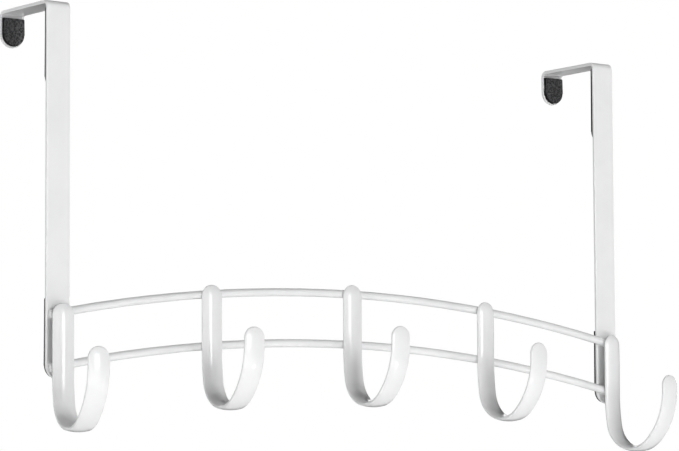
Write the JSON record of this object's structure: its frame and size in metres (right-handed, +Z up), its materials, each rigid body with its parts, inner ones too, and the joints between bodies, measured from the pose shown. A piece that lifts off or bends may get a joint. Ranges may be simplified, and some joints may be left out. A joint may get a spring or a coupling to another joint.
{
  "type": "over door hook rack",
  "caption": "White steel rack that hangs over a door's top edge by two bent flat hangers, with arched twin wire rails carrying a row of J hooks, and foam pads against the door",
  "frame": {"origin": "midway between the two hangers, on the line of the door's top edge, at the back face of the uprights", "axes": "+X along the rack to the right as seen from the room, +Y from the room into and past the door, +Z up"},
  "size_m": [0.4414, 0.106, 0.2505],
  "materials": {
    "white_coat": "smooth glossy white powder coat over steel",
    "foam": "matt dark grey closed-cell foam with a fine speckle"
  },
  "bodies": {
    "root": {"left_hanger": "white_coat", "right_hanger": "white_coat", "upper_rail": "white_coat", "lower_rail": "white_coat", "hook_1": "white_coat", "hook_2": "white_coat", "hook_3": "white_coat", "hook_4": "white_coat", "hook_5": "white_coat", "left_lip_pad": "foam", "left_upper_pad": "foam", "left_lower_pad": "foam", "right_lip_pad": "foam", "right_upper_pad": "foam", "right_lower_pad": "foam"}
  },
  "joints": []
}
